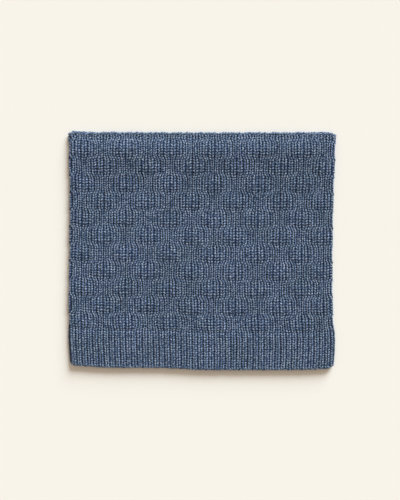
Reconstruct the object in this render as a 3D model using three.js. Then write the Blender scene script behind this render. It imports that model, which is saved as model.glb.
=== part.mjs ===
// An infinity scarf: one knitted tube of denim-blue yarn, laid flat so that its two layers lie on each other.
// Millimetres. X runs across the scarf from fold to fold, Y from the ribbed hem to the bound-off edge, Z up.
// The origin is under the middle of the scarf, on the surface that it lies on.

import * as THREE from "three";

// Driving sizes of the scarf as it lies
const WIDTH = 280;
const LENGTH = 250;
const WALL = 2.6;
const SEAM_GAP = 0.3;

// The knitting: wales are the upright columns of stitches
const REPEATS_ROUND = 12;
const WALES_PER_REPEAT = 8;
const FLAT_ROUND = 545;
const REPEAT = FLAT_ROUND / REPEATS_ROUND;
const WALE = REPEAT / WALES_PER_REPEAT;

// The raised blocks: staggered rows of them, four wales wide, from the top down
const BLOCK_ROWS = 11;
const BLOCK_ROW_PITCH = 18.55;
const FIRST_BLOCK_ROW_Y = 107.5;
const FIRST_BLOCK_X = 11.6;
const BLOCK_HALF_WIDTH = 2.35 * WALE;
const BLOCK_HALF_HEIGHT = 0.5 * BLOCK_ROW_PITCH;
const BLOCK_PLATEAU = 0.35;
const BLOCK_RELIEF = 1.5;
const BLOCK_SINK = 0.4;
const STEPS_PER_BLOCK_ROW = 4;

// The ribbed hem: one rib for each wale
const HEM_TOP_Y = -87.6;
const RIB_RELIEF = 1.1;
const RIB_SINK = 0.5;
const RIB_FADE = 4;
const HEM_INNER_ROWS = [-118, -107, -97];
const RIB_PROFILE = [
  { at: 0.0, height: 0.0 },
  { at: 0.2, height: 0.75 },
  { at: 0.5, height: 1.0 },
  { at: 0.8, height: 0.75 },
];

// The bound-off edge is a low bead along the top
const BOUND_BEAD = 0.35;
const BOUND_DEPTH = 4.5;
const BOUND_FOOT_Y = LENGTH / 2 - 1.2 * BOUND_DEPTH;

// Rounding of the side folds, the cloth's own edges and the corners
const FOLD_REACH = 4.6;
const RIM_REACH = 2.6;
const RIM_THIN = 0.4;
const CORNER_RADIUS = 7;
const FOLD_STEPS = 4;
const RIM_STEPS = 3;

// Where the two side folds lie, from the top down
const SIDE_FOLDS = [
  { y: 118, left: -140.0, right: 140.0 },
  { y: 97, left: -139.2, right: 138.8 },
  { y: 76, left: -138.6, right: 138.5 },
  { y: 55, left: -138.1, right: 136.8 },
  { y: 42, left: -138.3, right: 137.2 },
  { y: 30, left: -138.3, right: 135.7 },
  { y: -8, left: -138.3, right: 135.6 },
  { y: -21, left: -138.9, right: 135.6 },
  { y: -30, left: -138.2, right: 135.6 },
  { y: -54, left: -139.8, right: 135.6 },
  { y: -67, left: -138.4, right: 135.7 },
  { y: -84, left: -138.9, right: 136.4 },
  { y: -100, left: -139.2, right: 138.7 },
  { y: -109, left: -139.1, right: 138.6 },
  { y: -120, left: -138.3, right: 136.9 },
];

// How far each cloth edge lies from the middle of the length, from left to right
const CLOTH_EDGES = [
  { x: -140, front: 122.6, back: 125.0, hem: -120.0 },
  { x: -120, front: 123.4, back: 124.8, hem: -121.0 },
  { x: -105, front: 124.1, back: 123.8, hem: -122.6 },
  { x: -38, front: 123.7, back: 122.8, hem: -122.6 },
  { x: -20, front: 123.6, back: 122.7, hem: -124.6 },
  { x: 0, front: 123.6, back: 122.7, hem: -125.0 },
  { x: 95, front: 123.7, back: 123.2, hem: -125.0 },
  { x: 108, front: 123.9, back: 124.6, hem: -124.3 },
  { x: 122, front: 123.4, back: 125.0, hem: -124.7 },
  { x: 140, front: 122.4, back: 124.4, hem: -122.6 },
];

// Soft ridges across the front layer: where each crest lies and how far it falls away to both sides
const RIDGES = [
  { y: 103, up: 21, down: 42, height: 2.1 },
  { y: -6, up: 44, down: 60, height: 0.7 },
];
const RIDGE_SIDE_FADE = 26;

// Grid of the plain faces: columns inside the front, and columns and rows of the back
const INSIDE_COLUMNS = 8;
const BACK_COLUMNS = 10;
const BACK_ROWS = 26;

const CLOTH_COLOUR = 0x4e5c72;

const clamp = THREE.MathUtils.clamp;
const lerp = THREE.MathUtils.lerp;

// A half cosine that is 1 at 0 and falls to 0 at 1
function swell(t) {
  return 0.5 + 0.5 * Math.cos(Math.PI * clamp(Math.abs(t), 0, 1));
}

// A swell with a level top
function plateau(t) {
  return swell(Math.max(0, Math.abs(t) - BLOCK_PLATEAU) / (1 - BLOCK_PLATEAU));
}

// A quarter circle that is 0 at 0 and rises to 1 at 1
function quarterRound(t) {
  const rest = 1 - clamp(t, 0, 1);
  return Math.sqrt(1 - rest * rest);
}

// The value of one column of a table at a place along it, eased from row to row
function fromTable(table, place, at, column) {
  const rising = table[0][place] < table[table.length - 1][place];
  const rows = rising ? table : [...table].reverse();
  const next = clamp(rows.findIndex((row) => row[place] >= at), 1, rows.length - 1);
  const low = at >= rows[rows.length - 1][place] ? rows[rows.length - 1] : rows[next - 1];
  const high = at >= rows[rows.length - 1][place] ? low : rows[next];
  const span = high[place] - low[place];
  const share = span === 0 ? 0 : clamp((at - low[place]) / span, 0, 1);
  return lerp(high[column], low[column], swell(share));
}

// The folds at a height, drawn in where the corners are rounded
function foldsAt(y, cornerInset) {
  return {
    left: fromTable(SIDE_FOLDS, "y", y, "left") + cornerInset,
    right: fromTable(SIDE_FOLDS, "y", y, "right") - cornerInset,
  };
}

// How far a rounded corner draws in the fold, a given way from the cloth's end
function cornerInset(fromEnd) {
  const rest = clamp(CORNER_RADIUS - fromEnd, 0, CORNER_RADIUS);
  return CORNER_RADIUS - Math.sqrt(CORNER_RADIUS * CORNER_RADIUS - rest * rest);
}

// The true height on the cloth of a nominal height, between its wavy hem and its top edge
function heightOnCloth(x, nominalY, topColumn) {
  const hem = fromTable(CLOTH_EDGES, "x", x, "hem");
  const top = fromTable(CLOTH_EDGES, "x", x, topColumn);
  return lerp(hem, top, (nominalY + LENGTH / 2) / LENGTH);
}

// How far the front layer stands off the back layer
function ridgeLift(y, fromFold) {
  const sideFade = 1 - swell(fromFold / RIDGE_SIDE_FADE);
  const lifts = RIDGES.map((ridge) => {
    const reach = y > ridge.y ? ridge.up : ridge.down;
    return ridge.height * swell((y - ridge.y) / reach);
  });
  return sideFade * lifts.reduce((sum, lift) => sum + lift, 0);
}

// The relief of the raised blocks at a place counted in wales from the first block
function blockRelief(wale, nominalY) {
  const across = wale * WALE;
  let relief = 0;
  for (let row = 0; row < BLOCK_ROWS; row += 1) {
    const stagger = (row % 2) * 0.5 * REPEAT;
    const nearest = Math.round((across - stagger) / REPEAT) * REPEAT + stagger;
    const dx = (across - nearest) / BLOCK_HALF_WIDTH;
    const dy = (nominalY - (FIRST_BLOCK_ROW_Y - row * BLOCK_ROW_PITCH)) / BLOCK_HALF_HEIGHT;
    relief = Math.max(relief, BLOCK_RELIEF * plateau(dx) * plateau(dy));
  }
  return relief;
}

// The relief of the ribs, from a trough at each whole wale to a crest between
function ribRelief(wale, nominalY) {
  const share = wale - Math.floor(wale);
  const profile = [...RIB_PROFILE, { at: 1, height: RIB_PROFILE[0].height }];
  const fade = clamp((HEM_TOP_Y - nominalY) / RIB_FADE, 0, 1);
  return fade * RIB_RELIEF * fromTable(profile, "at", share, "height");
}

// The low bead of the bound-off edge
function beadRelief(nominalY) {
  return BOUND_BEAD * swell((LENGTH / 2 - BOUND_DEPTH / 2 - nominalY) / (BOUND_DEPTH / 2));
}

// Nominal heights near one end of the cloth, close enough for its rounded edge
function rimHeights(end) {
  const heights = [];
  for (let step = 0; step <= RIM_STEPS; step += 1) {
    const fromEnd = RIM_REACH * (1 - Math.cos((0.5 * Math.PI * step) / RIM_STEPS));
    heights.push(end * (LENGTH / 2 - fromEnd));
  }
  return heights;
}

// Nominal heights of the front's rows from the hem up, each marked as hem or body
function frontRows() {
  const hemRows = [...rimHeights(-1), ...HEM_INNER_ROWS, HEM_TOP_Y - RIB_FADE]
    .map((y) => ({ y, kind: "hem" }));
  const bodyRows = [];
  const steps = BLOCK_ROWS * STEPS_PER_BLOCK_ROW;
  const lowest = FIRST_BLOCK_ROW_Y - (BLOCK_ROWS - 0.5) * BLOCK_ROW_PITCH;
  for (let step = 0; step <= steps; step += 1) {
    bodyRows.push({ y: lowest + (step * BLOCK_ROW_PITCH) / STEPS_PER_BLOCK_ROW, kind: "body" });
  }
  const topRows = [BOUND_FOOT_Y, ...rimHeights(1).reverse()].map((y) => ({ y, kind: "body" }));
  return [...hemRows, ...bodyRows, ...topRows];
}

// Places across the front, in wales from the first block, with the places inside each wale
function walePlaces(left, right, inner) {
  const places = [];
  const first = Math.ceil((left + FOLD_REACH - FIRST_BLOCK_X) / WALE) - 1;
  const last = Math.floor((right - FOLD_REACH - FIRST_BLOCK_X) / WALE) + 1;
  for (let wale = first; wale <= last; wale += 1) {
    for (const at of inner) {
      places.push(wale + at);
    }
  }
  return places;
}

// Share of a quarter turn at each step round a fold, from the flat of the cloth out to the fold
function foldShares() {
  return Array.from({ length: FOLD_STEPS }, (unused, step) => (step + 1) / FOLD_STEPS);
}

// The chain of places across one row: each has its x and how far it has turned over a fold
function chainAcross(folds, innerPlaces) {
  const margin = FOLD_REACH + 0.25 * WALE;
  const flat = innerPlaces.filter((x) => x > folds.left + margin && x < folds.right - margin);
  const round = [0, ...foldShares()].map((share) => FOLD_REACH * (1 - Math.sin(0.5 * Math.PI * share)));
  const leftSide = [...round].reverse().map((inset) => folds.left + inset);
  const rightSide = round.map((inset) => folds.right - inset);
  return [...leftSide, ...flat, ...rightSide];
}

// Collects shared points and triangles of one closed wall
class Wall {
  constructor() {
    this.points = [];
    this.triangles = [];
  }

  point(x, y, z) {
    this.points.push(x, y, z);
    return this.points.length / 3 - 1;
  }

  triangle(a, b, c) {
    if (a !== b && b !== c && c !== a) {
      this.triangles.push(a, b, c);
    }
  }

  // Joins two chains of points that may differ in number, each given as { id, share } from left to right
  bridge(lower, upper) {
    let low = 0;
    let high = 0;
    while (low < lower.length - 1 || high < upper.length - 1) {
      const nextLow = low < lower.length - 1 ? lower[low + 1].share : Infinity;
      const nextHigh = high < upper.length - 1 ? upper[high + 1].share : Infinity;
      if (nextLow <= nextHigh) {
        this.triangle(lower[low].id, lower[low + 1].id, upper[high].id);
        low += 1;
      } else {
        this.triangle(lower[low].id, upper[high + 1].id, upper[high].id);
        high += 1;
      }
    }
  }

  geometry() {
    const geometry = new THREE.BufferGeometry();
    geometry.setAttribute("position", new THREE.Float32BufferAttribute(this.points, 3));
    geometry.setIndex(this.triangles);
    geometry.computeVertexNormals();
    return geometry;
  }
}

// A layer of the tube: rows of outer and inner points, the inner ones plain, closed round every edge
function layerGeometry(rows, layer) {
  const wall = new Wall();
  const share = (x, folds) => (x - folds.left) / (folds.right - folds.left);
  const chains = rows.map((row) => {
    const inset = cornerInset(LENGTH / 2 - Math.abs(row.y));
    const folds = foldsAt(row.y, inset);
    const outer = chainAcross(folds, layer.outerPlaces(row, folds)).map((x) => ({
      id: wall.point(x, heightOnCloth(x, row.y, layer.topColumn), layer.outerHeight(x, row.y, folds)),
      share: share(x, folds),
    }));
    const insideXs = Array.from({ length: INSIDE_COLUMNS - 1 }, (unused, column) =>
      lerp(folds.left, folds.right, (column + 1) / INSIDE_COLUMNS));
    const inner = insideXs.map((x) => ({
      id: wall.point(x, heightOnCloth(x, row.y, layer.topColumn), layer.innerHeight(x, row.y, folds)),
      share: share(x, folds),
    }));
    return { outer, inner: [outer[0], ...inner, outer[outer.length - 1]] };
  });
  const first = chains[0];
  const last = chains[chains.length - 1];
  const join = (lower, upper) => (layer.facesUp ? wall.bridge(lower, upper) : wall.bridge(upper, lower));
  join(first.inner, first.outer);
  for (let row = 0; row + 1 < chains.length; row += 1) {
    join(chains[row].outer, chains[row + 1].outer);
    join(chains[row + 1].inner, chains[row].inner);
  }
  join(last.outer, last.inner);
  return wall.geometry();
}

// How full the wall is near the folds and the cloth's ends: 1 in the middle, 0 at a fold
function fullness(x, nominalY, folds) {
  const fromFold = Math.min(x - folds.left, folds.right - x);
  const fromEnd = LENGTH / 2 - Math.abs(nominalY);
  const rim = RIM_THIN + (1 - RIM_THIN) * quarterRound(fromEnd / RIM_REACH);
  return quarterRound(fromFold / FOLD_REACH) * rim;
}

// Place across the front, in wales from the first block, measured along rows that widen with the cloth
function waleAt(x, folds) {
  const middle = foldsAt(0, 0);
  const share = (x - folds.left) / (folds.right - folds.left);
  return (lerp(middle.left, middle.right, share) - FIRST_BLOCK_X) / WALE;
}

function xOfWale(wale, folds) {
  const middle = foldsAt(0, 0);
  const share = (FIRST_BLOCK_X + wale * WALE - middle.left) / (middle.right - middle.left);
  return lerp(folds.left, folds.right, share);
}

// The front layer: raised blocks, ribbed hem and bound-off edge over a plain inside
const frontLayer = {
  facesUp: true,
  topColumn: "front",
  outerPlaces(row, folds) {
    const inner = row.kind === "hem" ? RIB_PROFILE.map((point) => point.at) : [0];
    return walePlaces(-WIDTH / 2, WIDTH / 2, inner).map((wale) => xOfWale(wale, folds));
  },
  innerHeight(x, nominalY, folds) {
    return WALL + SEAM_GAP + ridgeLift(nominalY, Math.min(x - folds.left, folds.right - x));
  },
  outerHeight(x, nominalY, folds) {
    const wale = waleAt(x, folds);
    const relief = nominalY < HEM_TOP_Y
      ? ribRelief(wale, nominalY)
      : blockRelief(wale, nominalY) + beadRelief(nominalY);
    const plain = WALL - (nominalY < HEM_TOP_Y ? RIB_SINK : BLOCK_SINK);
    return this.innerHeight(x, nominalY, folds) + (plain + relief) * fullness(x, nominalY, folds);
  },
};

// The back layer: flat where it rests, rounded at its folds and edges
const backLayer = {
  facesUp: false,
  topColumn: "back",
  outerPlaces(row, folds) {
    return Array.from({ length: BACK_COLUMNS - 1 }, (unused, column) =>
      lerp(folds.left, folds.right, (column + 1) / BACK_COLUMNS));
  },
  innerHeight() {
    return WALL;
  },
  outerHeight(x, nominalY, folds) {
    return WALL * (1 - fullness(x, nominalY, folds));
  },
};

// Nominal heights of the back's rows from the hem up
function backRows() {
  const inside = Array.from({ length: BACK_ROWS - 1 }, (unused, row) =>
    lerp(-LENGTH / 2, LENGTH / 2, (row + 1) / BACK_ROWS));
  const ends = [...rimHeights(-1), ...inside, ...rimHeights(1).reverse()];
  return ends.map((y) => ({ y, kind: "body" }));
}

function clothPiece(name, rows, layer) {
  const material = new THREE.MeshStandardMaterial({ color: CLOTH_COLOUR, roughness: 0.95, metalness: 0 });
  material.name = "denim_blue_knit";
  const mesh = new THREE.Mesh(layerGeometry(rows, layer), material);
  mesh.name = name;
  return mesh;
}

// Puts the middle of the scarf over the origin
function centre(group) {
  const box = new THREE.Box3().setFromObject(group);
  const middle = box.getCenter(new THREE.Vector3());
  group.position.set(-middle.x, -middle.y, -box.min.z);
  return group;
}

const scarf = new THREE.Group();
scarf.name = "infinity_scarf";
scarf.add(clothPiece("front_panel", frontRows(), frontLayer));
scarf.add(clothPiece("back_panel", backRows(), backLayer));

export default centre(scarf);
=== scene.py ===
# The looks of a knitted infinity scarf that lies flat: a thin tube of cloth under every row of its
# knitting, each row a length of yarn that runs through its loops. Lengths are in millimetres until a
# mesh or the camera is made. Rows are numbered downwards, from the first line of blocks at row 0.
import math
from collections import namedtuple

import bpy
import numpy as np
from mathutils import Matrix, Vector
from mathutils.bvhtree import BVHTree


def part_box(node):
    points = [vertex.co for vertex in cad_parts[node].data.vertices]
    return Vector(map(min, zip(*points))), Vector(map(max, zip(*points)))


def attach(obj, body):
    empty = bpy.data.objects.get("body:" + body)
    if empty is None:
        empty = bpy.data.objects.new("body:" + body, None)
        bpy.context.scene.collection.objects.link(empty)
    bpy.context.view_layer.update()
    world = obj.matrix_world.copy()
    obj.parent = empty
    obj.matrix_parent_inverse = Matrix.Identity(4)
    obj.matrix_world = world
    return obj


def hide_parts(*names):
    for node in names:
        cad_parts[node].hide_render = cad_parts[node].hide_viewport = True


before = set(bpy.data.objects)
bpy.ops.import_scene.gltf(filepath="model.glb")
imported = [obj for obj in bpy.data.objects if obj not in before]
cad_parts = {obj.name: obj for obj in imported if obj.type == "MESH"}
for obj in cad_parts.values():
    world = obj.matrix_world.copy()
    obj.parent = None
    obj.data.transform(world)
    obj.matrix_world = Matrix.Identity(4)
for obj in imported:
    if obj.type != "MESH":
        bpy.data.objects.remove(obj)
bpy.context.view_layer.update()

MM = 0.001
FRONT = "front_panel"
BACK = "back_panel"

# Sizes taken from the frame
FRONT_LOW, FRONT_HIGH = (np.array(corner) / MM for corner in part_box(FRONT))
BACK_LOW, BACK_HIGH = (np.array(corner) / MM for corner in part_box(BACK))
LENGTH = BACK_HIGH[1] - BACK_LOW[1]
HALF_LENGTH = LENGTH / 2

# The knitting: wales are the upright columns of stitches, counted round the tube
WALES_ROUND = 96
FLAT_ROUND = 545.0
WALE = FLAT_ROUND / WALES_ROUND
REPEAT_WALES = 8
FIRST_BLOCK_X = 11.6
FIRST_BLOCK_Y = 107.5
ROWS_PER_BLOCK = 7
BLOCK_ROWS = 11
BLOCK_PITCH = 18.55
BODY_ROW = BLOCK_PITCH / ROWS_PER_BLOCK
HEM_TOP_Y = -87.6
HEM_ROW = 2.53
HEM_TOP_ROW = (FIRST_BLOCK_Y - HEM_TOP_Y) / BODY_ROW
FIRST_ROW = -5.5
ROW_COUNT = 94
LAST_ROW = FIRST_ROW + ROW_COUNT - 1

# How the raised blocks spread their stitches apart, fading out towards the two cloth edges
BLOCK_SPREAD_X = 1.4
BLOCK_SPREAD_Y = 0.66
BLOCK_SQUARENESS = 3.5
SPREAD_FADE_ROWS = 3.0

# How the blocks stand up: their half width and height, and the share of each that is level
BLOCK_RISE = 0.6
BLOCK_HALF_WALES = 2.0
BLOCK_LEVEL_ACROSS = 0.6
BLOCK_ROWS_UP = 2.0
BLOCK_LEVEL_UP = 0.25
BLOCK_ROWS_DOWN = 2.7
BLOCK_LEVEL_DOWN = 0.6

# One loop of yarn. Its legs lean by a share of a wale, reach TALL rows up and down, and stand DEEP in
# front of the cloth's middle. TILT lifts the foot of each leg over the row below.
LOOP_LEAN = 0.20
BLOCK_LEAN = 0.25
RIB_LEAN = 0.22
LOOP_TALL = 0.74
BLOCK_TALL = 0.54
LOOP_TILT = 1.1
RIB_TILT = 1.4
LOOP_DEEP = 0.65
YARN_WIDE = 0.97
YARN_DEEP = 0.8
FINE_STEPS = [0.0, 0.13, 0.21, 0.29, 0.37, 0.5, 0.63, 0.71, 0.79, 0.87]
PLAIN_STEPS = [0.0, 0.15, 0.25, 0.35, 0.5, 0.65, 0.75, 0.85]
FINE_SIDES = 6
PLAIN_SIDES = 4

# The ribbed hem: how deep the valleys between its wales are, how far it stands up and how thin its yarn is
RIB_DEPTH = 0.12
VALLEY_SHARPNESS = 1.5
RIB_LIFT = 0.75
RIB_THIN = 0.97

# How much lighter the painted crown shade is in the hem and in the first rows, where the stitches lie more
# open: these raise the height that sets it
RIB_PAINTED_SHADE_LIFT = 0.06
TOP_PAINTED_SHADE_LIFT = 0.4
TOP_PAINTED_SHADE_ROWS = 3.5

# How far each loop strays from the even one, and which of the waves in wander() it follows
UNEVEN = {
    "lean": {"by": 0.02, "wave": 1.0},
    "row": {"by": 0.17, "wave": 2.0},
    "deep": {"by": 0.1, "wave": 4.0},
    "wale": {"by": 0.06, "wave": 5.0},
    "full": {"by": 0.08, "wave": 6.0},
}

# Where the fine front yarn ends, in wales, and how the rows are shared out to pieces
FRONT_WALES = (-28, 24)
BACK_WALES = (FRONT_WALES[1], FRONT_WALES[0] + WALES_ROUND)
FRONT_PIECES = ["knit_front_top", "knit_front_upper", "knit_front_lower", "knit_front_hem"]
BACK_PIECES = ["knit_back_upper", "knit_back_lower"]

# The two strands of each cloth edge, the bound-off top and the cast-on hem. They swing by y along the
# cloth and by n out of it, and "ragged" is how uneven they are.
EDGE_STRANDS = [
    {"name": "bound_off_edge", "row": FIRST_ROW - 0.8, "lift": 0.4, "y": 0.85, "n": 0.75,
     "ragged": 0.9, "wide": 0.8, "deep": 0.75},
    {"name": "cast_on_edge", "row": LAST_ROW + 0.75, "lift": -0.3, "y": 0.6, "n": 0.5,
     "ragged": 0.6, "wide": 0.6, "deep": 0.6},
]
EDGE_STEPS = 6
EDGE_SIDES = 6
EDGE_RAGGED_PACE = 1.3

# An edge shows its yarn from the side as well, so its flanks get less painted shade than a stitch's: the
# height that sets it is raised and scaled
EDGE_PAINTED_SHADE_LIFT = 1.0
EDGE_PAINTED_SHADE_SCALE = 0.5

# Heights of the two layers' middles, and how the cloth turns at the side folds
LOOP_REACH = 1.85
FLOOR_CLEAR = 0.05
HALF_THICK = LOOP_DEEP + YARN_DEEP
BACK_MIDDLE = BACK_LOW[2] + FLOOR_CLEAR + LOOP_REACH
FOLD_RADIUS = HALF_THICK + FLOOR_CLEAR
FRONT_MIDDLE = BACK_MIDDLE + 2 * FOLD_RADIUS
FOLD_SPREAD = 2.1
FOLD_REACH = FOLD_RADIUS + HALF_THICK - FOLD_SPREAD
FOLD_BLEND = 18.0
RELIEF_ON_FOLD = 0.3

# The four corners are rounded, and the upper left one reaches up a little
CORNER_DROP = 2.2
CORNER_REACH = 5.0
LEFT_CORNER_RISE = 1.4
LEFT_CORNER_REACH = 14.0

# The low ridge along the bound-off edge, where the cloth curls
RIDGE_Y = 105.0
RIDGE_RISE = 1.3
RIDGE_ABOVE = 17.0
RIDGE_BELOW = 22.0

# The cloth under the yarn: its two faces' heights, and how far it goes past the first and last rows
SHELL_OUTER = -0.85
SHELL_INNER = -1.2
SHELL_PAST_TOP = 0.6
SHELL_PAST_HEM = 0.5

# Where rays read the frame's shape
FAR = 500.0
SEAM_PROBE = 0.3
PROBES = {FRONT: FRONT_LOW[2] + SEAM_PROBE, BACK: BACK_HIGH[2] - SEAM_PROBE}
PROBE_XS = np.linspace(-131, 131, 88)
LIFT_XS = np.linspace(-132, 132, 45)
LIFT_YS = np.linspace(-121, 121, 81)

# Each side fold is smoothed along its length, and drawn in a little between two heights
FOLD_PROBES = 240
FOLD_SMOOTH = 41
FOLD_ENDS = 0.010
FOLD_TRIM = {-1: 0.3, 1: 0.95}
FOLD_TRIM_FROM = 35.0
FOLD_TRIM_TO = 118.0
FOLD_TRIM_BLEND = 15.0

# The share of its place on the bake map that a row of yarn fills
MAP_STRIP = 0.94

# The cloth tube's map: its outside, its inside and its two rims, one above the other
SHELL_MAP_HIGH = 0.47
SHELL_MAP_INSIDE = 0.48
SHELL_MAP_RIMS = (0.96, 0.98)
SHELL_MAP_RIM_HIGH = 0.015

# The photograph's frame
PHOTO_WIDE = 400
PHOTO_HIGH = 500
MM_PER_PIXEL = 1.048
SCARF_MIDDLE_PIXEL = (202.3, 250.6)
LENS = 100.0
SENSOR = 36.0

# Corners, four-cornered faces, their places on both maps, and the height that sets each corner's painted
# shade: how far it stands out of the cloth, raised in places
Swept = namedtuple("Swept", "points faces yarn_map bake_map stand")


def swell(t):
    return 0.5 + 0.5 * np.cos(np.pi * np.clip(np.abs(t), 0, 1))


def plateau(t, level):
    return swell(np.clip(np.abs(t) - level, 0, None) / (1 - level))


def ease(t):
    t = np.clip(t, 0, 1)
    return t * t * (3 - 2 * t)


# Reading the frame's shape


def tree_of(node):
    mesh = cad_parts[node].data
    points = [vertex.co.copy() for vertex in mesh.vertices]
    faces = [tuple(polygon.vertices) for polygon in mesh.polygons]
    return BVHTree.FromPolygons(points, faces)


TREES = {FRONT: tree_of(FRONT), BACK: tree_of(BACK)}


def hit(node, start, direction, axis, missing):
    """Where a ray in millimetres meets a node, along one axis."""
    found = TREES[node].ray_cast(Vector(start) * MM, Vector(direction))[0]
    return missing if found is None else found[axis] / MM


def edge_line(node, end):
    """A cloth edge: how far along the length it lies, for each of PROBE_XS."""
    missing = end * HALF_LENGTH
    return np.array([hit(node, (x, end * FAR, PROBES[node]), (0, -end, 0), 1, missing) for x in PROBE_XS])


TOP_LINES = {node: edge_line(node, 1) for node in PROBES}
HEM_LINES = {node: edge_line(node, -1) for node in PROBES}


def fold_place(side, y):
    """How far out the wider of the two layers reaches at one side, drawn in where the fold is trimmed."""
    reached = [side * hit(node, (side * FAR, y, PROBES[node]), (-side, 0, 0), 0, 0) for node in PROBES]
    inside = min(y - FOLD_TRIM_FROM, FOLD_TRIM_TO - y)
    drawn_in = FOLD_TRIM[side] * ease(inside / FOLD_TRIM_BLEND)
    return side * (max(reached) - drawn_in)


def fold_lines():
    """For heights from hem to top, where the outermost of each side fold lies, its corners left square."""
    shares = np.linspace(0.001, 0.999, FOLD_PROBES)
    lines = {}
    for side, end in ((-1, 0), (1, -1)):
        hem = (HEM_LINES[FRONT][end] + HEM_LINES[BACK][end]) / 2
        top = (TOP_LINES[FRONT][end] + TOP_LINES[BACK][end]) / 2
        ys = [hem + (top - hem) * min(max(share, FOLD_ENDS), 1 - FOLD_ENDS) for share in shares]
        places = [fold_place(side, y) for y in ys]
        padded = np.pad(places, FOLD_SMOOTH // 2, mode="edge")
        lines[side] = np.convolve(padded, np.ones(FOLD_SMOOTH) / FOLD_SMOOTH, "valid")
    return shares, lines[-1], lines[1]


FOLD_SHARES, LEFT_FOLD, RIGHT_FOLD = fold_lines()


def lift_grid():
    """How far the front layer's inside stands off the back layer."""
    seam = FRONT_LOW[2]
    below = seam - SEAM_PROBE / 2
    return np.array([
        [hit(FRONT, (x, y, below), (0, 0, 1), 2, seam) - seam for x in LIFT_XS]
        for y in LIFT_YS
    ])


LIFTS = lift_grid()


def lift_at(x, y):
    column = np.clip((x - LIFT_XS[0]) / (LIFT_XS[1] - LIFT_XS[0]), 0, len(LIFT_XS) - 1.001)
    row = np.clip((y - LIFT_YS[0]) / (LIFT_YS[1] - LIFT_YS[0]), 0, len(LIFT_YS) - 1.001)
    i = row.astype(int)
    j = column.astype(int)
    a = row - i
    b = column - j
    low = LIFTS[i, j] * (1 - b) + LIFTS[i, j + 1] * b
    high = LIFTS[i + 1, j] * (1 - b) + LIFTS[i + 1, j + 1] * b
    return low * (1 - a) + high * a


# The tube's middle surface


def ring_at(share_up):
    left = np.interp(share_up, FOLD_SHARES, LEFT_FOLD) + FOLD_REACH
    right = np.interp(share_up, FOLD_SHARES, RIGHT_FOLD) - FOLD_REACH
    round_length = 2 * (right - left) + 2 * np.pi * FOLD_RADIUS
    return left, right, round_length


def share_of_x(x):
    """The share of the way round, from the left fold, of a place on the front at mid-length."""
    left, _, round_length = ring_at(0.5)
    return (np.pi / 2 * FOLD_RADIUS + x - left) / round_length


def ring_place(s, left, right, round_length):
    """What lies at a length s round the ring from its left end: x, the outward direction's x and z, and
    whether it is on the front."""
    wide = right - left
    quarter = np.pi / 2 * FOLD_RADIUS
    on_front = (s >= quarter) & (s < quarter + wide)
    on_right = (s >= quarter + wide) & (s < 3 * quarter + wide)
    on_back = (s >= 3 * quarter + wide) & (s < 3 * quarter + 2 * wide)
    left_turn = np.where(s < quarter, s, s - round_length) / FOLD_RADIUS
    right_turn = (s - quarter - wide) / FOLD_RADIUS
    cases = [on_front, on_right, on_back]
    nx = np.select(cases, [0 * s, np.sin(right_turn), 0 * s], -np.cos(left_turn))
    nz = np.select(cases, [1 + 0 * s, np.cos(right_turn), -1 + 0 * s], np.sin(left_turn))
    x = np.select(
        cases,
        [left + s - quarter, right + FOLD_RADIUS * nx, right - (s - 3 * quarter - wide)],
        left + FOLD_RADIUS * nx,
    )
    return x, nx, nz, on_front


def tube(share_round, share_up):
    """Points and outward directions on the middle of the cloth."""
    left, right, round_length = ring_at(share_up)
    s = np.mod(share_round, 1.0) * round_length
    x, nx, nz, on_front = ring_place(s, left, right, round_length)
    inside = np.minimum(x - left, right - x)
    front_part = 0.5 + 0.5 * nz * ease((inside + FOLD_REACH) / FOLD_BLEND)
    drop = CORNER_DROP * (1 - ease((inside + FOLD_RADIUS) / CORNER_REACH))
    rise = LEFT_CORNER_RISE * (1 - ease((x - left) / LEFT_CORNER_REACH))
    top = mixed_line(TOP_LINES, x, front_part) + rise - drop
    hem = mixed_line(HEM_LINES, x, front_part) + drop
    y = hem + (top - hem) * share_up
    ridge = ridge_at(y) * ease(inside / FOLD_BLEND)
    z = (FRONT_MIDDLE + BACK_MIDDLE) / 2 + FOLD_RADIUS * nz
    z = z + np.where(on_front, lift_at(x, y) + ridge, 0)
    return np.stack([x, y, z], -1), np.stack([nx, 0 * nx, nz], -1)


def ridge_at(y):
    off = y - RIDGE_Y
    return RIDGE_RISE * swell(np.where(off > 0, off / RIDGE_ABOVE, off / RIDGE_BELOW))


def mixed_line(lines, x, front_part):
    front = np.interp(x, PROBE_XS, lines[FRONT])
    back = np.interp(x, PROBE_XS, lines[BACK])
    return back + (front - back) * front_part


# The knitting's map: wales and rows to places on the cloth


def spread_fade(row):
    from_top = ease((row - FIRST_ROW + 1) / SPREAD_FADE_ROWS)
    from_hem = ease((HEM_TOP_ROW - row) / SPREAD_FADE_ROWS)
    return from_top * from_hem


def block_share(wale, row):
    """How much a stitch belongs to a raised block: 1 in its middle."""
    index = np.clip(np.round(row / ROWS_PER_BLOCK), 0, BLOCK_ROWS - 1)
    stagger = np.mod(index, 2) * REPEAT_WALES / 2
    across = np.mod(wale - stagger + REPEAT_WALES / 2, REPEAT_WALES) - REPEAT_WALES / 2
    down = row - index * ROWS_PER_BLOCK
    above = plateau(down / BLOCK_ROWS_UP, BLOCK_LEVEL_UP)
    below = plateau(down / BLOCK_ROWS_DOWN, BLOCK_LEVEL_DOWN)
    return plateau(across / BLOCK_HALF_WALES, BLOCK_LEVEL_ACROSS) * np.where(down < 0, above, below)


def wander(wale, row, wave):
    """Small unevenness from stitch to stitch, between -1 and 1."""
    slow = np.sin(0.9 * wale + 0.31 * row + wave) * np.sin(0.23 * wale - 0.7 * row + 2 * wave)
    quick = np.sin(2.9 * wale + 4.3 * row + 3 * wave) * np.sin(5.1 * wale - 1.7 * row + wave)
    return 0.5 * slow + 0.5 * quick


def uneven(kind, wale, row):
    return UNEVEN[kind]["by"] * wander(wale, row, UNEVEN[kind]["wave"])


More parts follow.
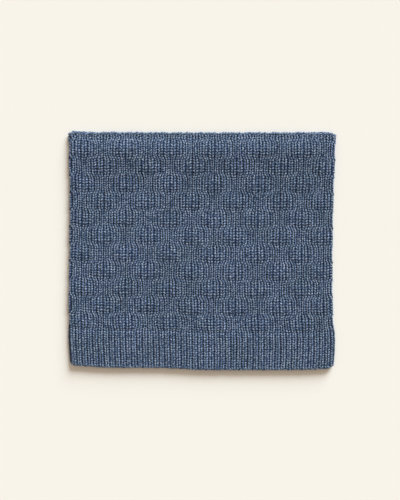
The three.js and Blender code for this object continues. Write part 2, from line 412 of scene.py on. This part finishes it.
def nominal_y(row):
    in_body = FIRST_BLOCK_Y - BODY_ROW * row
    in_hem = HEM_TOP_Y - HEM_ROW * (row - HEM_TOP_ROW)
    return np.where(row < HEM_TOP_ROW, in_body, in_hem)


def hem_share(row):
    return ease(row - HEM_TOP_ROW + 0.5)


def top_share(row):
    return ease((FIRST_ROW + TOP_PAINTED_SHADE_ROWS - row) / TOP_PAINTED_SHADE_ROWS)


def squared_wave(row):
    """1 in the rows of one line of blocks, -1 in those of the next, with a quick change between."""
    return np.tanh(np.cos(np.pi * row / ROWS_PER_BLOCK) * BLOCK_SQUARENESS) / np.tanh(BLOCK_SQUARENESS)


def fullness(wale, row):
    """How wide a wale lies for its place in the pattern: over 1 in the blocks and under 1 between them."""
    turn = 2 * np.pi * wale / REPEAT_WALES
    slope = BLOCK_SPREAD_X * 2 * np.pi / (REPEAT_WALES * WALE)
    return 1 + spread_fade(row) * slope * squared_wave(row) * np.cos(turn)


def on_cloth(wale, row, rise):
    """The point and outward direction at a place in the knitting, so far above the cloth's middle."""
    fade = spread_fade(row)
    turn = 2 * np.pi * wale / REPEAT_WALES
    across = wale * WALE + fade * BLOCK_SPREAD_X * squared_wave(row) * np.sin(turn)
    along = fade * BLOCK_SPREAD_Y * np.cos(turn) * np.sin(np.pi * row / ROWS_PER_BLOCK)
    share_up = (nominal_y(row) - along + HALF_LENGTH) / LENGTH
    share_round = share_of_x(FIRST_BLOCK_X) + across / FLAT_ROUND
    points, out = tube(share_round, share_up)
    upward = np.clip(RELIEF_ON_FOLD + (1 - RELIEF_ON_FOLD) * out[..., 2], 0, 1)
    total = rise + upward * (BLOCK_RISE * block_share(wale, row) + RIB_LIFT * hem_share(row))
    return points + out * total[..., None], out


# Yarn


def loop_path(wales, rows, steps):
    """Rows of yarn: each passes up and down through its loops, with the legs to the front."""
    first, last = wales
    stitches = np.arange(first, last)
    t = np.append(np.tile(steps, len(stitches)), 0.0)
    start = np.append(np.repeat(stitches, len(steps)), last).astype(float)
    t, row = np.meshgrid(t, rows)
    start = np.broadcast_to(start, t.shape)
    along = start + t
    turn = 2 * np.pi * t
    in_hem = hem_share(row)
    raised = np.sqrt(block_share(along, row)) * spread_fade(row)
    lean = LOOP_LEAN + (BLOCK_LEAN - LOOP_LEAN) * raised + (RIB_LEAN - LOOP_LEAN) * in_hem
    lean = lean + uneven("lean", start, row)
    wale = along + lean * np.sin(2 * turn) + uneven("wale", along, row)
    tall = LOOP_TALL + (BLOCK_TALL - LOOP_TALL) * raised
    place = row + tall * np.cos(turn) + uneven("row", along, row)
    deep = LOOP_DEEP * (1 + uneven("deep", along, row))
    valley = (0.5 + 0.5 * np.cos(2 * np.pi * wale)) ** VALLEY_SHARPNESS
    tilt = (LOOP_TILT + (RIB_TILT - LOOP_TILT) * in_hem) * np.cos(turn) * np.sin(turn) ** 2
    stand = tilt - deep * np.cos(2 * turn) - RIB_DEPTH * valley * in_hem
    points, out = on_cloth(wale, place, stand)
    full = fullness(start + 0.5, row) * (1 - (1 - RIB_THIN) * in_hem)
    full = full * (1 + uneven("full", along, row))
    # Painted shade: the hem and the first rows get a raised shading height, so less painted shade on their
    # flanks
    painted_shade_lift = RIB_PAINTED_SHADE_LIFT * in_hem + TOP_PAINTED_SHADE_LIFT * top_share(row)
    return points, out, stand + painted_shade_lift, full[..., None]


def edge_path(edge, phase):
    """One of two strands that twist round each other along a cloth edge."""
    wale = np.arange(WALES_ROUND * EDGE_STEPS + 1) / EDGE_STEPS + FRONT_WALES[0]
    turn = 2 * np.pi * wale + phase
    ragged = edge["ragged"] * wander(EDGE_RAGGED_PACE * wale, phase, 1.0)
    row = edge["row"] + (edge["y"] * np.cos(turn) + ragged) / BODY_ROW
    stand = edge["lift"] + edge["n"] * np.sin(turn)
    points, out = on_cloth(wale, row, stand)
    # Painted shade: an edge's shading height is raised and scaled, so less painted shade on its flanks
    return points[None], out[None], EDGE_PAINTED_SHADE_LIFT + EDGE_PAINTED_SHADE_SCALE * stand[None], 1


def sweep(points, out, stand, full, wide, deep, sides):
    """Tubes with an oval section along rows of points. A fuller stretch of yarn is wider and deeper in
    proportion."""
    rows, count = points.shape[:2]
    angle = 2 * np.pi * np.arange(sides) / sides
    corners = oval_rings(points, out, wide * full * np.cos(angle), deep * full * np.sin(angle))
    step = np.linalg.norm(np.diff(points, axis=1), axis=2)
    length = np.concatenate([np.zeros((rows, 1)), np.cumsum(step, axis=1)], axis=1)
    yarn_map, bake_map = wall_maps(rows, count, sides, length)
    caps, cap_yarn, cap_bake = cap_faces(rows, count, sides, length)
    # Each corner's height for the painted crown shade: its row's height plus how far up the oval it sits
    return Swept(
        corners.reshape(-1, 3),
        np.concatenate([wall_faces(rows, count, sides), caps]),
        np.concatenate([yarn_map, cap_yarn]),
        np.concatenate([bake_map, cap_bake]),
        (stand[:, :, None] + deep * np.sin(angle)).ravel(),
    )


def oval_rings(points, out, sideways, upward):
    """The corners of an oval round each point, so far to the side and so far out of the cloth."""
    along = np.gradient(points, axis=1)
    along /= np.linalg.norm(along, axis=2, keepdims=True)
    across = np.cross(along, out)
    across /= np.linalg.norm(across, axis=2, keepdims=True)
    up = np.cross(across, along)
    to_side = across[:, :, None] * sideways[..., None]
    to_front = up[:, :, None] * upward[..., None]
    return points[:, :, None] + to_side + to_front


def wall_grid(rows, count, sides):
    return np.meshgrid(np.arange(rows), np.arange(count - 1), np.arange(sides), indexing="ij")


def wall_faces(rows, count, sides):
    """Faces between each ring of corners and the next."""
    row, k, side = wall_grid(rows, count, sides)
    at = (row * count + k) * sides
    after = np.mod(side + 1, sides)
    corners = [at + side, at + sides + side, at + sides + after, at + after]
    return np.stack(corners, -1).reshape(-1, 4)


def rectangles(near, far, low, high):
    """Places on a map for four-cornered faces, from near to far and from low to high."""
    places = np.stack([np.stack([near, far, far, near], -1), np.stack([low, low, high, high], -1)], -1)
    return places.reshape(-1, 4, 2)


def wall_maps(rows, count, sides, length):
    """The walls' places on the yarn map, by length in millimetres, and on the bake map."""
    row, k, side = wall_grid(rows, count, sides)
    low, high = side / sides, (side + 1) / sides
    yarn_map = rectangles(length[row, k], length[row, k + 1], low, high)
    low, high = (row + MAP_STRIP * low) / rows, (row + MAP_STRIP * high) / rows
    return yarn_map, rectangles(k / (count - 1), (k + 1) / (count - 1), low, high)


def cap_faces(rows, count, sides, length):
    """Faces that close both ends of each tube, with their places on both maps."""
    fans = [(0, i, i + 1, i + 2) for i in range(1, sides - 2, 2)]
    faces, yarn, bake = [], [], []
    square = np.array([(0, 0), (1, 0), (1, 1), (0, 1)], float)
    for row in range(rows):
        for k, turned in ((0, False), (count - 1, True)):
            for fan in fans:
                ring = [(row * count + k) * sides + i for i in fan]
                faces.append(ring[::-1] if turned else ring)
                yarn.append(np.array((length[row, k], 0)) + 0.5 * square)
                corner = np.array((k / (count - 1) * 0.98, (row + MAP_STRIP + 0.01) / rows))
                bake.append(corner + square * np.array((0.02, 0.04 / rows)))
    return np.array(faces), np.array(yarn), np.array(bake)


def make_piece(name, parts, material):
    """One joined mesh of swept parts, in metres, riding on the root body."""
    base = np.cumsum([0] + [len(part.points) for part in parts[:-1]])
    points = np.concatenate([part.points for part in parts]) * MM
    faces = np.concatenate([part.faces + start for part, start in zip(parts, base)])
    mesh = bpy.data.meshes.new(name)
    mesh.vertices.add(len(points))
    mesh.vertices.foreach_set("co", points.ravel())
    mesh.loops.add(faces.size)
    mesh.loops.foreach_set("vertex_index", faces.ravel().astype(np.int32))
    mesh.polygons.add(len(faces))
    mesh.polygons.foreach_set("loop_start", (4 * np.arange(len(faces))).astype(np.int32))
    mesh.update(calc_edges=True)
    mesh.shade_smooth()
    share = 1 / len(parts)
    bake_maps = [part.bake_map * (1, share) + (0, i / len(parts)) for i, part in enumerate(parts)]
    for label, maps in (("OFBake", bake_maps), ("Yarn", [part.yarn_map for part in parts])):
        layer = mesh.uv_layers.new(name=label)
        layer.uv.foreach_set("vector", np.concatenate(maps).ravel())
    # Painted shade: each corner's shading height goes on the mesh for the yarn material's painted crown
    # shade
    stand = mesh.attributes.new("Stand", "FLOAT", "POINT")
    stand.data.foreach_set("value", np.concatenate([part.stand for part in parts]))
    mesh.materials.append(material)
    piece = bpy.data.objects.new(name, mesh)
    bpy.context.scene.collection.objects.link(piece)
    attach(piece, "root")
    return piece


def knit_pieces(names, wales, steps, sides, material):
    rows = FIRST_ROW + np.arange(ROW_COUNT)
    pieces = []
    for name, band in zip(names, np.array_split(rows, len(names))):
        swept = sweep(*loop_path(wales, band, steps), YARN_WIDE, YARN_DEEP, sides)
        pieces.append(make_piece(name, [swept], material))
    return pieces


def edge_pieces(material):
    pieces = []
    for edge in EDGE_STRANDS:
        strands = [
            sweep(*edge_path(edge, phase), edge["wide"], edge["deep"], EDGE_SIDES)
            for phase in (0, np.pi)
        ]
        pieces.append(make_piece(edge["name"], strands, material))
    return pieces


# The cloth under the yarn


def shell_piece(material):
    """The thin tube of cloth that carries the yarn, closed at both cloth edges."""
    wales = np.arange(WALES_ROUND) + float(FRONT_WALES[0])
    knitted = FIRST_ROW + np.arange(ROW_COUNT)
    rows = np.concatenate([[FIRST_ROW - SHELL_PAST_TOP], knitted, [LAST_ROW + SHELL_PAST_HEM]])
    wale, row = np.meshgrid(wales, rows)
    outer = on_cloth(wale, row, np.full(wale.shape, SHELL_OUTER))[0]
    inner = on_cloth(wale, row, np.full(wale.shape, SHELL_INNER))[0]
    points = np.concatenate([outer.reshape(-1, 3), inner.reshape(-1, 3)])
    faces = shell_faces(*wale.shape)
    yarn_map = np.zeros((len(faces), 4, 2))
    stand = np.full(len(points), SHELL_OUTER)
    swept = Swept(points, faces, yarn_map, shell_map(*wale.shape), stand)
    return make_piece("cloth_tube", [swept], material)


def shell_faces(high, round_count):
    """Faces of the outside, the inside and the two rims that join them."""
    skin = high * round_count
    i, j = np.meshgrid(np.arange(high - 1), np.arange(round_count), indexing="ij")
    a = i * round_count + j
    b = i * round_count + np.mod(j + 1, round_count)
    c, d = b + round_count, a + round_count
    faces = [
        np.stack([a, d, c, b], -1).reshape(-1, 4),
        np.stack([a, b, c, d], -1).reshape(-1, 4) + skin,
    ]
    j = np.arange(round_count)
    after = np.mod(j + 1, round_count)
    for first, turned in ((0, False), (skin - round_count, True)):
        rim = np.stack([first + j, first + after, skin + first + after, skin + first + j], -1)
        faces.append(rim[:, ::-1] if turned else rim)
    return np.concatenate(faces)


def shell_map(high, round_count):
    """Places of the cloth tube's faces on its own map: outside, inside and the two rims."""
    i, j = np.meshgrid(np.arange(high - 1), np.arange(round_count), indexing="ij")
    u = np.stack([j, j, j + 1, j + 1], -1) / round_count
    v = np.stack([i, i + 1, i + 1, i], -1) / (high - 1)
    outside = np.stack([u, SHELL_MAP_HIGH * v], -1).reshape(-1, 4, 2)
    u = np.stack([j, j + 1, j + 1, j], -1) / round_count
    v = np.stack([i, i, i + 1, i + 1], -1) / (high - 1)
    inside = np.stack([u, SHELL_MAP_INSIDE + SHELL_MAP_HIGH * v], -1).reshape(-1, 4, 2)
    j = np.arange(round_count)
    u = np.stack([j, j + 1, j + 1, j], -1) / round_count
    v = SHELL_MAP_RIM_HIGH * np.array([0, 0, 1, 1]) + 0 * u
    rims = [np.stack([u, start + v], -1) for start in SHELL_MAP_RIMS]
    return np.concatenate([outside, inside, *rims])


# Materials: between these heights above the cloth's middle the yarn's colour turns from painted shade on its
# flanks to its plain crown
CROWN_FROM = 0.42
CROWN_TO = 1.35
PAINTED_CROWN_SHADES = [(0.0, (0.085, 0.15, 0.27)), (1.0, (1.0, 1.0, 1.0))]

# The yarn's fibres, the streaks along its strands and its slow change from patch to patch
FIBRE_TONES = [
    (0.38, (0.024, 0.057, 0.138)),
    (0.50, (0.118, 0.184, 0.302)),
    (0.61, (0.340, 0.418, 0.540)),
]
STREAK_TONES = [(0.35, (0.62, 0.64, 0.70)), (0.65, (1.25, 1.22, 1.18))]
PATCH_TONES = [(0.35, (0.93, 0.95, 0.925)), (0.65, (1.07, 1.05, 1.075))]
# Painted shade: the near-black tones of the cloth seen between the stitches
DEPTH_PAINTED_SHADE_TONES = [(0.3, (0.005, 0.012, 0.032)), (0.7, (0.012, 0.026, 0.060))]

NOISES = {
    "fibres": {"Scale": 620, "Detail": 3, "Roughness": 0.65},
    "streaks": {"Scale": 1.6, "Detail": 2, "Roughness": 0.6},
    "patches": {"Scale": 34, "Detail": 2, "Roughness": 0.5},
    "depth": {"Scale": 500, "Detail": 3, "Roughness": 0.5},
}

# How the yarn map is stretched for the streaks and for the twist of the two plies
STREAK_STRETCH = (0.55, 7.0, 1)
PLY_STRETCH = (1.0, 6.0, 1)
PLY_WAVE = {"Scale": 0.16, "Distortion": 0.6}
PLY_BUMP = {"Strength": 0.25, "Distance": 0.3 * MM}
FUZZ_BUMP = {"Strength": 0.5, "Distance": 0.25 * MM}

YARN_SURFACE = {
    "Roughness": 0.92,
    "Specular IOR Level": 0.2,
    "Sheen Weight": 0.35,
    "Sheen Roughness": 0.5,
    "Sheen Tint": (0.72, 0.80, 0.92, 1),
}
DEPTH_SURFACE = {"Roughness": 1.0, "Specular IOR Level": 0.1}


def set_inputs(node, values):
    for name, value in values.items():
        node.inputs[name].default_value = value


def node_material(name):
    material = bpy.data.materials.new(name)
    material.use_nodes = True
    nodes = material.node_tree.nodes
    return material, nodes, material.node_tree.links, nodes["Principled BSDF"]


def toned(nodes, links, factor, stops):
    node = nodes.new("ShaderNodeValToRGB")
    while len(node.color_ramp.elements) < len(stops):
        node.color_ramp.elements.new(0.5)
    for element, (place, colour) in zip(node.color_ramp.elements, stops):
        element.position = place
        element.color = (*colour, 1)
    links.new(factor, node.inputs["Fac"])
    return node.outputs["Color"]


def multiplied(nodes, links, first, second):
    node = nodes.new("ShaderNodeMix")
    node.data_type = "RGBA"
    node.blend_type = "MULTIPLY"
    node.inputs["Factor"].default_value = 1.0
    links.new(first, node.inputs[6])
    links.new(second, node.inputs[7])
    return node.outputs[2]


def noise(nodes, links, vector, kind):
    node = nodes.new("ShaderNodeTexNoise")
    set_inputs(node, NOISES[kind])
    links.new(vector, node.inputs["Vector"])
    return node.outputs["Fac"]


def stretched(nodes, links, vector, scale):
    node = nodes.new("ShaderNodeMapping")
    node.inputs["Scale"].default_value = scale
    links.new(vector, node.inputs["Vector"])
    return node.outputs["Vector"]


def bump(nodes, links, height, values, normal=None):
    node = nodes.new("ShaderNodeBump")
    set_inputs(node, values)
    links.new(height, node.inputs["Height"])
    if normal is not None:
        links.new(normal, node.inputs["Normal"])
    return node.outputs["Normal"]


def painted_crown_shade(nodes, links):
    """Painted shade: dark on the yarn's flanks and white on its crown, by the height of each corner."""
    stand = nodes.new("ShaderNodeAttribute")
    stand.attribute_name = "Stand"
    rise = nodes.new("ShaderNodeMapRange")
    rise.interpolation_type = "SMOOTHSTEP"
    set_inputs(rise, {"From Min": CROWN_FROM, "From Max": CROWN_TO})
    links.new(stand.outputs["Fac"], rise.inputs["Value"])
    return toned(nodes, links, rise.outputs["Result"], PAINTED_CROWN_SHADES)


def ply_wave(nodes, links, yarn_place):
    plies = nodes.new("ShaderNodeTexWave")
    plies.bands_direction = "DIAGONAL"
    set_inputs(plies, PLY_WAVE)
    links.new(stretched(nodes, links, yarn_place, PLY_STRETCH), plies.inputs["Vector"])
    return plies.outputs["Fac"]


def yarn_material():
    """Heathered soft-spun yarn: dark, middle and pale fibres, painted shade on the flanks of each strand,
    two plies and a fuzzy sheen.
    """
    material, nodes, links, shader = node_material("heathered_yarn_painted_shade")
    place = nodes.new("ShaderNodeTexCoord").outputs["Object"]
    yarn = nodes.new("ShaderNodeUVMap")
    yarn.uv_map = "Yarn"
    yarn_place = yarn.outputs["UV"]
    fibres = noise(nodes, links, place, "fibres")
    streaks = noise(nodes, links, stretched(nodes, links, yarn_place, STREAK_STRETCH), "streaks")
    patches = noise(nodes, links, place, "patches")
    colour = toned(nodes, links, fibres, FIBRE_TONES)
    colour = multiplied(nodes, links, colour, toned(nodes, links, streaks, STREAK_TONES))
    colour = multiplied(nodes, links, colour, toned(nodes, links, patches, PATCH_TONES))
    # Painted shade: the colour darkens towards each strand's flanks, by the height each corner stands at
    colour = multiplied(nodes, links, colour, painted_crown_shade(nodes, links))
    links.new(colour, shader.inputs["Base Color"])
    plies = bump(nodes, links, ply_wave(nodes, links, yarn_place), PLY_BUMP)
    links.new(bump(nodes, links, streaks, FUZZ_BUMP, plies), shader.inputs["Normal"])
    set_inputs(shader, YARN_SURFACE)
    return material


def under_material():
    """Painted shade: near-black navy colour on the cloth seen between the stitches, standing in for the
    shade there.
    """
    material, nodes, links, shader = node_material("cloth_depth_painted_shade")
    place = nodes.new("ShaderNodeTexCoord").outputs["Object"]
    tones = toned(nodes, links, noise(nodes, links, place, "depth"), DEPTH_PAINTED_SHADE_TONES)
    links.new(tones, shader.inputs["Base Color"])
    set_inputs(shader, DEPTH_SURFACE)
    return material


# The studio: a pale floor, a broad key light from beyond the bound-off edge, a warm fill and the camera
FLOOR_HALF = 3.0
FLOOR_COLOUR = (0.86, 0.83, 0.78)
FLOOR_SURFACE = {"Base Color": (*FLOOR_COLOUR, 1), "Roughness": 1.0, "Specular IOR Level": 0.0}
FILL_COLOUR = (0.50, 0.42, 0.34)
FILL_OVERHEAD = 0.5
KEY_COLOUR = (0.60, 0.67, 0.71)
KEY_ELEVATION = math.radians(27)
KEY_AZIMUTH = math.radians(26)
KEY_SPREAD = math.radians(36)

# Three times the fourth power lights a level surface as a plain sky of the same colour does
OVERHEAD_POWER = 4
OVERHEAD_GAIN = 3


def make_floor():
    mesh = bpy.data.meshes.new("floor")
    h = FLOOR_HALF
    mesh.from_pydata([(-h, -h, 0), (h, -h, 0), (h, h, 0), (-h, h, 0)], [], [(0, 1, 2, 3)])
    material, _, _, shader = node_material("floor_paper")
    set_inputs(shader, FLOOR_SURFACE)
    mesh.materials.append(material)
    floor = bpy.data.objects.new("floor", mesh)
    bpy.context.scene.collection.objects.link(floor)


def worked(nodes, links, operation, value, number):
    node = nodes.new("ShaderNodeMath")
    node.operation = operation
    links.new(value, node.inputs[0])
    node.inputs[1].default_value = number
    return node.outputs[0]


def make_fill():
    """A warm sky, half of it the same all over and half brighter overhead."""
    world = bpy.data.worlds.new("fill")
    world.use_nodes = True
    nodes, links = world.node_tree.nodes, world.node_tree.links
    background = nodes["Background"]
    background.inputs["Color"].default_value = (*FILL_COLOUR, 1)
    direction = nodes.new("ShaderNodeSeparateXYZ")
    links.new(nodes.new("ShaderNodeTexCoord").outputs["Generated"], direction.inputs[0])
    height = worked(nodes, links, "MAXIMUM", direction.outputs["Z"], 0)
    overhead = worked(nodes, links, "POWER", height, OVERHEAD_POWER)
    strong = worked(nodes, links, "MULTIPLY", overhead, OVERHEAD_GAIN * FILL_OVERHEAD)
    links.new(worked(nodes, links, "ADD", strong, 1 - FILL_OVERHEAD), background.inputs["Strength"])
    bpy.context.scene.world = world


def make_key():
    key = bpy.data.lights.new("key", "SUN")
    brightest = max(KEY_COLOUR)
    key.color = [part / brightest for part in KEY_COLOUR]
    key.energy = math.pi * brightest / math.sin(KEY_ELEVATION)
    key.angle = KEY_SPREAD
    lamp = bpy.data.objects.new("key", key)
    towards = Vector((
        math.sin(KEY_AZIMUTH) * math.cos(KEY_ELEVATION),
        math.cos(KEY_AZIMUTH) * math.cos(KEY_ELEVATION),
        math.sin(KEY_ELEVATION),
    ))
    lamp.rotation_mode = "QUATERNION"
    lamp.rotation_quaternion = towards.to_track_quat("Z", "Y")
    bpy.context.scene.collection.objects.link(lamp)


def make_camera():
    """Straight above, a long way off, with the scarf as far from the frame's middle as in the photograph."""
    data = bpy.data.cameras.new("camera")
    data.lens = LENS
    data.sensor_fit = "VERTICAL"
    data.sensor_height = SENSOR
    data.sensor_width = SENSOR
    distance = PHOTO_HIGH * MM_PER_PIXEL * MM * LENS / SENSOR
    camera = bpy.data.objects.new("camera", data)
    camera.location = (
        (PHOTO_WIDE / 2 - SCARF_MIDDLE_PIXEL[0]) * MM_PER_PIXEL * MM,
        (SCARF_MIDDLE_PIXEL[1] - PHOTO_HIGH / 2) * MM_PER_PIXEL * MM,
        distance + FRONT_HIGH[2] * MM,
    )
    bpy.context.scene.collection.objects.link(camera)
    bpy.context.scene.camera = camera


def make_scarf():
    yarn = yarn_material()
    fine = knit_pieces(FRONT_PIECES, FRONT_WALES, FINE_STEPS, FINE_SIDES, yarn)
    plain = knit_pieces(BACK_PIECES, BACK_WALES, PLAIN_STEPS, PLAIN_SIDES, yarn)
    edges = edge_pieces(yarn)
    cloth = shell_piece(under_material())
    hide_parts(FRONT, BACK)


make_camera()
make_floor()
make_fill()
make_key()
make_scarf()
bpy.context.scene.view_settings.view_transform = "Standard"
